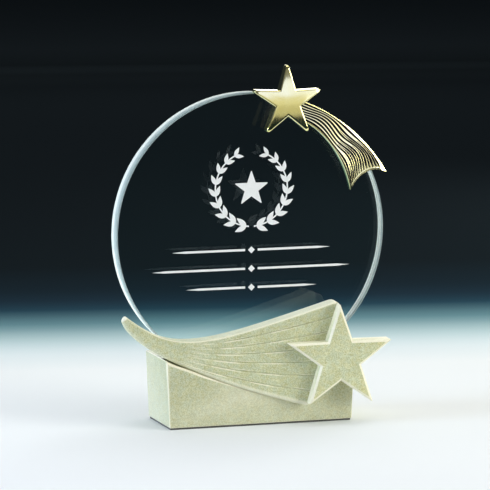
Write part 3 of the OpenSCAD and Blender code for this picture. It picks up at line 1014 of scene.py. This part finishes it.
def giltRing(scale, drop, outline):
    # a ring of the outline on the domed face, lowered by drop
    size = giltStarSize
    cx, cz = polar(size["centreRadius"], size["centreAngle"])
    ring = []
    for x, z in outline:
        spot = (x * scale, z * scale)
        dome = size["crown"] * (math.dist(spot, size["crownAt"]) / size["outer"]) ** 2
        lift = layout["bondThick"] + size["thick"] - dome - drop
        ring.append(onFace(cx + spot[0], cz + spot[1], lift))
    return ring


def rootCutter():
    size = giltStarSize
    room, columns, rows = size["rootRoom"], size["rootColumns"], size["rootRows"]
    ts = [mixed(-room, size["rootReach"], i / columns) for i in range(columns + 1)]
    fs = [mixed(-room, 1 + room, j / rows) for j in range(rows + 1)]
    below = layout["bondThick"] - size["rootBelow"]
    above = layout["bondThick"] + tail["thick"] + size["fit"]
    under = [[onFace(*tailSpot(t, f), below) for f in fs] for t in ts]
    over = [[onFace(*tailSpot(t, f), above) for f in fs] for t in ts]
    return addPiece("rootCutter", *gridSolid(over, under))


def makeGiltStar():
    size = giltStarSize
    toSharp = 1 / math.sin(math.radians(size["tipHalfAngle"])) - 1
    sharp = size["outer"] + size["tipRadius"] * toSharp
    outline, edgeReach = starOutline(sharp, size["inner"], size["tipRadius"], size["turn"],
                                     size["tipSteps"])
    outline = divided(outline, size["longest"])
    cx, cz = polar(size["centreRadius"], size["centreAngle"])
    rings = [[onFace(cx + x, cz + z, layout["bondThick"]) for x, z in outline]]
    for j in range(size["edgeSteps"] + 1):
        angle = math.radians(90 * j / size["edgeSteps"])
        inward = size["edge"] * (1 - math.cos(angle))
        drop = size["edgeDrop"] * (1 - math.sin(angle))
        rings.append(giltRing(1 - inward / edgeReach, drop, outline))
    rim = 1 - size["edge"] / edgeReach
    for share in size["faceRings"]:
        rings.append(giltRing(rim * share, 0.0, outline))
    piece = addPiece("giltStar", *ringSolid(rings), size["sharpDegrees"])
    cutAway(piece, rootCutter(), size["sharpDegrees"])
    return piece


giltStar = makeGiltStar()
dress(giltStar, gilt, "gilt_metal", "gilt_star")
print("gilt star made")

# solids that stay as they are, with their finishes

steel = plainFinish("turnedSteel", steelLook)
ink = plainFinish("whitePrint", inkLook)
bedding = plainFinish("clearBedding", beddingLook)
keptFinishes = {
    "plate_dowels": steel,
    "star_dowels": steel,
    "disc_screws": steel,
    "screw_washers": steel,
    "base_felt": darkFelt(),
    "wreath_print": ink,
    "rule_print": ink,
    "slot_bedding": bedding,
    "star_bond": bedding,
    "tail_bond": bedding,
}
for nodeName, finish in keptFinishes.items():
    nodes[nodeName].data.materials.clear()
    nodes[nodeName].data.materials.append(finish)
print("kept solids dressed:", len(keptFinishes))

# floor: pale round the award, dark far behind it and far in front

floorLook = {
    "size": 9.0,
    "heading": -10.0,
    "start": -2.2,
    "run": 5.8,
    "rough": 0.7,
    "stops": (  # distance behind the award in metres, and the colour there
        (-0.4, (0.006, 0.014, 0.016)),
        (-0.26, (0.78, 0.80, 0.81)),
        (0.2, (0.75, 0.77, 0.765)),
        (0.28, (0.62, 0.69, 0.70)),
        (0.326, (0.43, 0.55, 0.56)),
        (0.396, (0.12, 0.23, 0.255)),
        (0.468, (0.018, 0.048, 0.069)),
        (0.51, (0.012, 0.025, 0.037)),
        (0.57, (0.009, 0.0165, 0.0225)),
        (0.7, (0.0073, 0.011, 0.0133)),
        (1.0, (0.007, 0.01, 0.012)),
        (1.55, (0.0065, 0.009, 0.0108)),
        (2.2, (0.005, 0.0068, 0.008)),
        (2.35, (0.008, 0.0108, 0.0125)),
        (2.5, (0.025, 0.034, 0.039)),
        (2.7, (0.035, 0.047, 0.055)),
    ),
}


def makeFloor():
    half = floorLook["size"]
    mesh = bpy.data.meshes.new("floor")
    corners = [(-half, -half, 0), (half, -half, 0), (half, half, 0), (-half, half, 0)]
    mesh.from_pydata(corners, [], [(0, 1, 2, 3)])
    floor = bpy.data.objects.new("floor", mesh)
    bpy.context.scene.collection.objects.link(floor)
    finish, tree, shader = newFinish("paleFloor")
    coords = tree.nodes.new("ShaderNodeTexCoord")
    along = tree.nodes.new("ShaderNodeVectorMath")
    along.operation = "DOT_PRODUCT"
    heading = math.radians(floorLook["heading"])
    along.inputs[1].default_value = (-math.sin(heading), math.cos(heading), 0.0)
    tree.links.new(coords.outputs["Object"], along.inputs[0])
    start, run = floorLook["start"], floorLook["run"]
    share = tree.nodes.new("ShaderNodeMapRange")
    share.inputs["From Min"].default_value = start
    share.inputs["From Max"].default_value = start + run
    tree.links.new(along.outputs["Value"], share.inputs["Value"])
    stops = [((place - start) / run, colour) for place, colour in floorLook["stops"]]
    tree.links.new(colourRamp(tree, share.outputs["Result"], stops), shader.inputs["Base Color"])
    shader.inputs["Roughness"].default_value = floorLook["rough"]
    shader.inputs["Specular IOR Level"].default_value = 0.0
    mesh.materials.append(finish)


makeFloor()

# light

lampAim = Vector((0.0, 0.0, 0.09))
lamps = {
    "overhead": {
        "place": (0.2, 0.0, 1.8), "size": (2.6, 2.2), "power": 34.0,
        "colour": (1.0, 0.99, 0.97),
    },
    "leftLow": {
        "place": (-1.25, -0.05, 0.32), "size": (0.5, 0.5), "power": 16.0,
        "colour": (0.68, 0.80, 1.0),
    },
    "rightSide": {
        "place": (1.4, -1.2, 0.55), "size": (0.9, 0.9), "power": 22.5,
        "colour": (1.0, 1.0, 0.92),
    },
    "backHigh": {
        "place": (0.45, 2.3, 0.62), "size": (1.8, 0.6), "power": 14.0,
        "colour": (0.96, 0.99, 1.0),
    },
    "rightBack": {
        "place": (1.0, 0.8, 0.35), "size": (0.6, 0.5), "power": 7.0,
        "colour": (0.95, 1.0, 0.97),
    },
    "frontCard": {
        "place": (0.70, -1.87, 0.365), "size": (1.26, 0.21), "power": 1.15,
        "colour": (0.55, 0.61, 1.0),
    },
    "sideCard": {
        "place": (1.121, -1.712, 0.155), "size": (0.34, 0.2), "power": 0.26,
        "colour": (0.42, 0.5, 1.0),
    },
    "lowCard": {
        "place": (0.70, -1.87, 0.147), "size": (1.26, 0.226), "power": 0.5,
        "colour": (1.0, 0.97, 0.72),
    },
}
for lampName, lamp in lamps.items():
    light = bpy.data.lights.new(lampName, "AREA")
    light.shape = "RECTANGLE"
    light.size, light.size_y = lamp["size"]
    light.energy = lamp["power"]
    light.color = lamp["colour"]
    holder = bpy.data.objects.new(lampName, light)
    holder.location = lamp["place"]
    towards = lampAim - Vector(lamp["place"])
    holder.rotation_euler = towards.to_track_quat("-Z", "Y").to_euler()
    bpy.context.scene.collection.objects.link(holder)

worldLook = {
    "front": (0.20, 0.205, 0.21),
    "back": (0.02, 0.025, 0.03),
    "frontSpan": (0.1, -0.5),
    "highSpan": (0.65, 0.2),
}


def makeWorld():
    # a pale band low in front, dark above it and behind
    world = bpy.data.worlds.new("studio")
    bpy.context.scene.world = world
    world.use_nodes = True
    tree = world.node_tree
    coords = tree.nodes.new("ShaderNodeTexCoord")
    axes = tree.nodes.new("ShaderNodeSeparateXYZ")
    tree.links.new(coords.outputs["Generated"], axes.inputs["Vector"])
    shares = []
    for axis, span in (("Y", worldLook["frontSpan"]), ("Z", worldLook["highSpan"])):
        share = tree.nodes.new("ShaderNodeMapRange")
        share.interpolation_type = "SMOOTHSTEP"
        share.inputs["From Min"].default_value, share.inputs["From Max"].default_value = span
        tree.links.new(axes.outputs[axis], share.inputs["Value"])
        shares.append(share.outputs["Result"])
    both = tree.nodes.new("ShaderNodeMath")
    both.operation = "MULTIPLY"
    tree.links.new(shares[0], both.inputs[0])
    tree.links.new(shares[1], both.inputs[1])
    tones = ((0.0, worldLook["back"]), (1.0, worldLook["front"]))
    tone = colourRamp(tree, both.outputs["Value"], tones)
    tree.links.new(tone, tree.nodes["Background"].inputs["Color"])
    tree.nodes["Background"].inputs["Strength"].default_value = 1.0


makeWorld()
print("stage and light set")

# camera at the photograph's angle

view = {
    "azimuth": -17.92,
    "elevation": 7.83,
    "distance": 2.5434,
    "aim": (-0.0034, 0.0, 0.1124),
    "lens": 293.9,
    "sensor": 36.0,
    "farthest": 50.0,
}


def makeCamera():
    camera = bpy.data.cameras.new("camera")
    camera.lens = view["lens"]
    camera.sensor_width = view["sensor"]
    camera.clip_end = view["farthest"]
    holder = bpy.data.objects.new("camera", camera)
    a, e = math.radians(view["azimuth"]), math.radians(view["elevation"])
    back = Vector((math.sin(a) * math.cos(e), -math.cos(a) * math.cos(e), math.sin(e)))
    holder.location = Vector(view["aim"]) + back * view["distance"]
    holder.rotation_euler = back.to_track_quat("Z", "Y").to_euler()
    bpy.context.scene.collection.objects.link(holder)
    bpy.context.scene.camera = holder


makeCamera()
bpy.context.scene.view_settings.view_transform = "Standard"
print("camera set")

bpy.context.view_layer.update()
